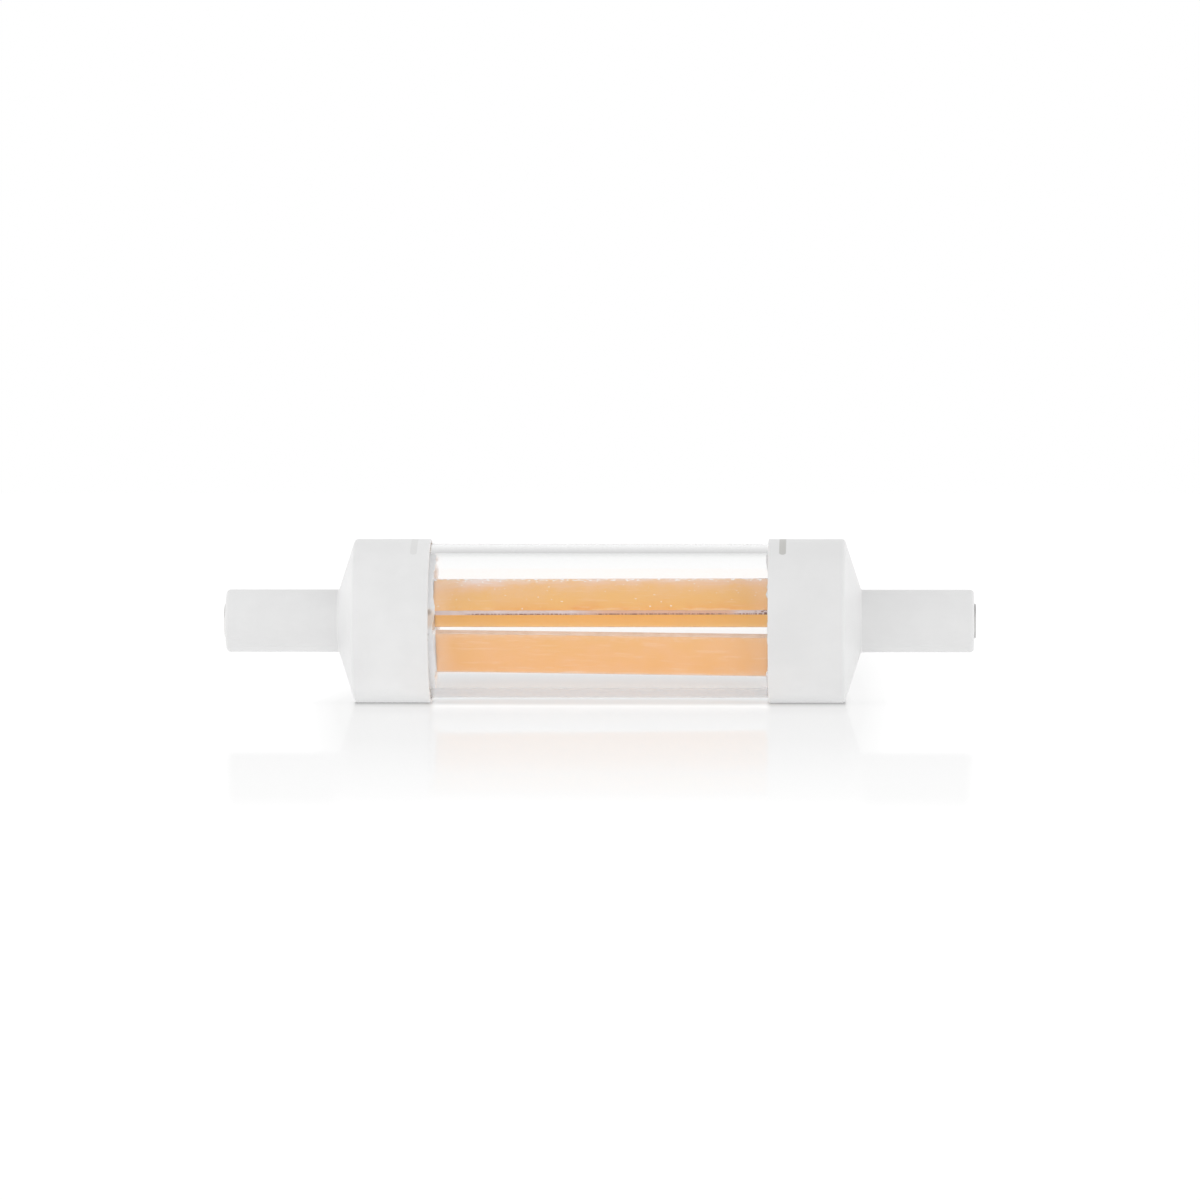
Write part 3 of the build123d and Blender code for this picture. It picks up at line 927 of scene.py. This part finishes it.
def make_coat(strip_name, face_name):
    """A crowned coat with soft edges, slightly uneven in height, in width and at its ends."""
    strip = STRIPS[strip_name]
    face = FACES[face_name]
    turn = strip["turn"]
    lean = strip["spread"] / STRIP_SPAN
    out = Vector((0, math.cos(turn), math.sin(turn)))
    aside = Vector((0, -math.sin(turn), math.cos(turn)))
    middle = Vector((CAGE_SHIFT, 0, -RING_DROP)) + aside * strip["slide"]
    middle += out * (RING_DISTANCE + strip["shift"])
    along = (Vector((1, 0, 0)) + out * lean).normalized()
    out = (out - Vector((lean, 0, 0))).normalized()
    half_width = STRIP_WIDTH / 2 - COAT_MARGIN
    left_end = max(strip["bare"] - COAT_OVERRUN, COAT_FRAY) - HOLDER_REACH
    half_length = (COAT_REACH - left_end) / 2
    middle += along * (left_end + half_length)
    seed = turn * 7 + face * 3
    bm = bmesh.new()
    rows = []
    for i in range(COAT_ROWS + 1):
        v = toward_edges(2 * i / COAT_ROWS - 1, COAT_ROW_CROWDING)
        reach = v * half_length / MM
        end_fall = max(0.0, 1 - abs(v) ** COAT_END_FALL) ** 0.5
        at_left = max(0.0, -v) ** COAT_FRAY_FALL
        on_base = middle + along * (v * half_length) + out * (face * BASE_THICKNESS / 2)
        row = [bm.verts.new(on_base - aside * half_width * COAT_FOOT)]
        for j in range(COAT_COLUMNS + 1):
            u = toward_edges(2 * j / COAT_COLUMNS - 1, COAT_COLUMN_CROWDING)
            edge_fall = max(0.0, 1 - abs(u) ** COAT_EDGE_FALL) ** 0.5
            spot = Vector((reach, u * 2.5, seed))
            swell = 1 + COAT_SWELL * noise.noise(spot * 0.7) + COAT_RIPPLE * noise.noise(spot * 2.5)
            swell = min(COAT_HIGHEST, swell)
            wavy = noise.noise(Vector((reach * 0.8, math.copysign(9, u), seed)))
            wavy += 0.8 * noise.noise(Vector((reach * 3.1, math.copysign(5, u), seed)))
            crown = COAT_EDGE + (COAT_CROWN - COAT_EDGE) * (1 - u * u)
            height = crown * edge_fall * end_fall * swell
            width = half_width * (1 - COAT_WAVER * max(0.0, 1 + wavy))
            fray = along * (at_left * COAT_FRAY * noise.noise(Vector((u * 4, 0.0, seed))))
            row.append(bm.verts.new(on_base + fray + aside * (u * width) + out * (face * height)))
        row.append(bm.verts.new(on_base + aside * half_width * COAT_FOOT))
        rows.append(row)
    for i in range(COAT_ROWS):
        for j in range(len(rows[i])):
            k = (j + 1) % len(rows[i])
            bm.faces.new((rows[i][j], rows[i][k], rows[i + 1][k], rows[i + 1][j]))
    bm.faces.new(rows[0])
    bm.faces.new(rows[-1])
    coat = add_mesh(f"{strip_name}_{face_name}_coat", bm, COATS[strip_name][face_name])
    place_for(coat, f"{strip_name}_{face_name}_phosphor")


# Floor, light and camera
def floor_glow(tree, place, grazing):
    """The light that the floor gives off, painted with shade: seen from low down, soft painted bands of shade
    and reflection, with a painted shadow, the darkest, under the bulb; seen from above, a painted soft shadow
    on the matt floor."""
    nearer = math_node(tree, "MAXIMUM", math_node(tree, "MULTIPLY", place["Y"], -1.0), 0.0)
    leaning = math_node(tree, "MULTIPLY_ADD", nearer, -FLOOR_LEAN, place["X"])
    narrowed = math_node(tree, "MULTIPLY_ADD", nearer, -FLOOR_TAPER, 1.0)
    narrowed = math_node(tree, "MAXIMUM", narrowed, FLOOR_NARROWEST)
    from_middle = math_node(tree, "DIVIDE", math_node(tree, "ABSOLUTE", leaning), narrowed)
    off_end = math_node(tree, "MAXIMUM", math_node(tree, "SUBTRACT", from_middle, CORNER_X), 0.0)
    past_end = math_node(tree, "MULTIPLY", off_end, FLOOR_ENDS)
    away = {}
    zones = {}
    # Painted shadow under the bulb, and painted bands of shade and reflection in front of it
    for zone, start in (("caps", 0.0), ("tube", FLOOR_BEHIND)):
        off_bulb = length_node(tree, past_end, math_node(tree, "SUBTRACT", place["Y"], start))
        away[zone] = math_node(tree, "DIVIDE", off_bulb, FLOOR_REACH)
        zones[zone] = grey_ramp(tree, away[zone], FLOOR_GLOW[zone])
    # A cool tint on the painted shadow by the tube
    near = step_between(tree, away["tube"], COOL_END, COOL_FULL)
    cool = node(tree, "VectorMath", {0: zones["tube"], 1: FLOOR_COOL}, operation="MULTIPLY").outputs[0]
    zones["tube"] = mix_colour(tree, near, zones["tube"], cool)
    by_cap = step_between(tree, from_middle, RIM_X - CAP_FADE, RIM_X + CAP_FADE)
    lit = mix_colour(tree, by_cap, zones["tube"], zones["caps"])
    # Painted reflection of the stubs: a greyer band of the floor in front of them
    stub_reflection = step_between(tree, off_end, 0.0, STUB_FADE)
    to_tip = step_between(tree, from_middle, TIP_X + TIP_FADE, TIP_X - TIP_FADE)
    stub_reflection = math_node(tree, "MULTIPLY", stub_reflection, to_tip)
    for start, full in STUB_REFLECTION_BAND:
        stub_reflection = math_node(tree, "MULTIPLY", stub_reflection, step_between(tree, nearer, start, full))
    lit = mix_colour(tree, stub_reflection, lit, grey(STUB_REFLECTION_GLOW))
    off_bulb = length_node(tree, off_end, place["Y"])
    matt_glow = step_between(tree, off_bulb, 0.0, SHADOW_REACH, SHADOW_GLOW, MATT_GLOW)
    paths = node(tree, "LightPath").outputs
    unseen = math_node(tree, "SUBTRACT", 1.0, paths["Is Camera Ray"])
    # Seen from low down the painted bands show; seen from above only the painted soft shadow
    band_share = math_node(tree, "MAXIMUM", step_between(tree, grazing, BANDS_START, BANDS_FULL), unseen)
    lit = mix_colour(tree, band_share, matt_glow, lit)
    bounced = grey_ramp(tree, away["tube"], FLOOR_BOUNCE)
    return mix_colour(tree, paths["Is Diffuse Ray"], lit, bounced)


def lay_floor():
    """A white floor lit from below as well, with a painted shadow under the bulb. Its mirror fades out in
    front of it.
    """
    bm = bmesh.new()
    bmesh.ops.create_grid(bm, x_segments=4, y_segments=4, size=FLOOR_SIZE)
    material = bpy.data.materials.new("floor")
    material.use_nodes = True
    tree = material.node_tree
    tree.nodes.remove(tree.nodes["Principled BSDF"])
    place = node(tree, "SeparateXYZ", {0: node(tree, "NewGeometry").outputs["Position"]}).outputs
    grazing = node(tree, "Fresnel", {"IOR": FLOOR_IOR}).outputs[0]
    white = node(tree, "BsdfDiffuse", {"Color": grey(FLOOR_WHITE)})
    glow = node(tree, "Emission", {"Color": floor_glow(tree, place, grazing)})
    matt = node(tree, "AddShader")
    tree.links.new(white.outputs[0], matt.inputs[0])
    tree.links.new(glow.outputs[0], matt.inputs[1])
    mirror = node(tree, "BsdfGlossy", {"Color": grey(1.0), "Roughness": MIRROR_ROUGHNESS})
    forward = math_node(tree, "DIVIDE", math_node(tree, "ABSOLUTE", place["Y"]), FLOOR_REACH)
    fade = grey_ramp(tree, forward, MIRROR_FADE)
    mixed = node(tree, "MixShader", {0: math_node(tree, "MULTIPLY", fade, grazing)})
    tree.links.new(matt.outputs[0], mixed.inputs[1])
    tree.links.new(mirror.outputs[0], mixed.inputs[2])
    tree.links.new(mixed.outputs[0], tree.nodes["Material Output"].inputs["Surface"])
    floor = add_mesh("floor", bm, material)
    floor.location.z = FLOOR_Z


def light_tent():
    """A white tent of light, a little stronger at its two ends. In the glass it is greyer overhead."""
    world = bpy.data.worlds.new("light tent")
    bpy.context.scene.world = world
    world.use_nodes = True
    tree = world.node_tree
    way = node(tree, "SeparateXYZ", {0: node(tree, "TexCoord").outputs["Generated"]})
    height = math_node(tree, "MULTIPLY_ADD", way.outputs["Z"], 0.5, 0.5)
    mirrored = grey_ramp(tree, height, TENT_MIRRORED)
    gain = {0: mirrored, "Scale": TENT_MIRRORED_GAIN}
    mirrored = node(tree, "VectorMath", gain, operation="SCALE").outputs[0]
    ends = math_node(tree, "MULTIPLY", way.outputs["X"], way.outputs["X"])
    overhead = math_node(tree, "MULTIPLY", way.outputs["Z"], way.outputs["Z"])
    level = math_node(tree, "MULTIPLY_ADD", ends, TENT_ENDS, TENT_LEVEL)
    level = math_node(tree, "MULTIPLY_ADD", overhead, TENT_TOP, level)
    lighting = node(tree, "CombineColor", {"Red": level, "Green": level, "Blue": level}).outputs[0]
    paths = node(tree, "LightPath").outputs
    colour = mix_colour(tree, paths["Is Diffuse Ray"], mirrored, lighting)
    colour = mix_colour(tree, paths["Is Camera Ray"], colour, grey(1.0))
    feed(tree, tree.nodes["Background"].inputs["Color"], colour)


def place_camera():
    away = Vector((
        math.sin(CAMERA_AZIMUTH) * math.cos(CAMERA_ELEVATION),
        -math.cos(CAMERA_AZIMUTH) * math.cos(CAMERA_ELEVATION),
        math.sin(CAMERA_ELEVATION),
    ))
    camera = bpy.data.objects.new("camera", bpy.data.cameras.new("camera"))
    bpy.context.scene.collection.objects.link(camera)
    camera.data.lens = CAMERA_LENS
    camera.data.sensor_width = CAMERA_SENSOR
    camera.data.clip_start = CAMERA_NEAR
    camera.location = Vector((0, 0, AIM_HEIGHT)) + away * CAMERA_DISTANCE
    camera.rotation_euler = (-away).to_track_quat("-Z", "Y").to_euler()
    bpy.context.scene.camera = camera


dress_nodes()
make_tube()
for side_name in SIDES:
    make_cap(side_name)
    make_contact(side_name)
    make_seal(side_name)
for strip_name in STRIPS:
    for face_name in FACES:
        make_coat(strip_name, face_name)
lay_floor()
light_tent()
place_camera()
bpy.context.scene.view_settings.view_transform = "Standard"
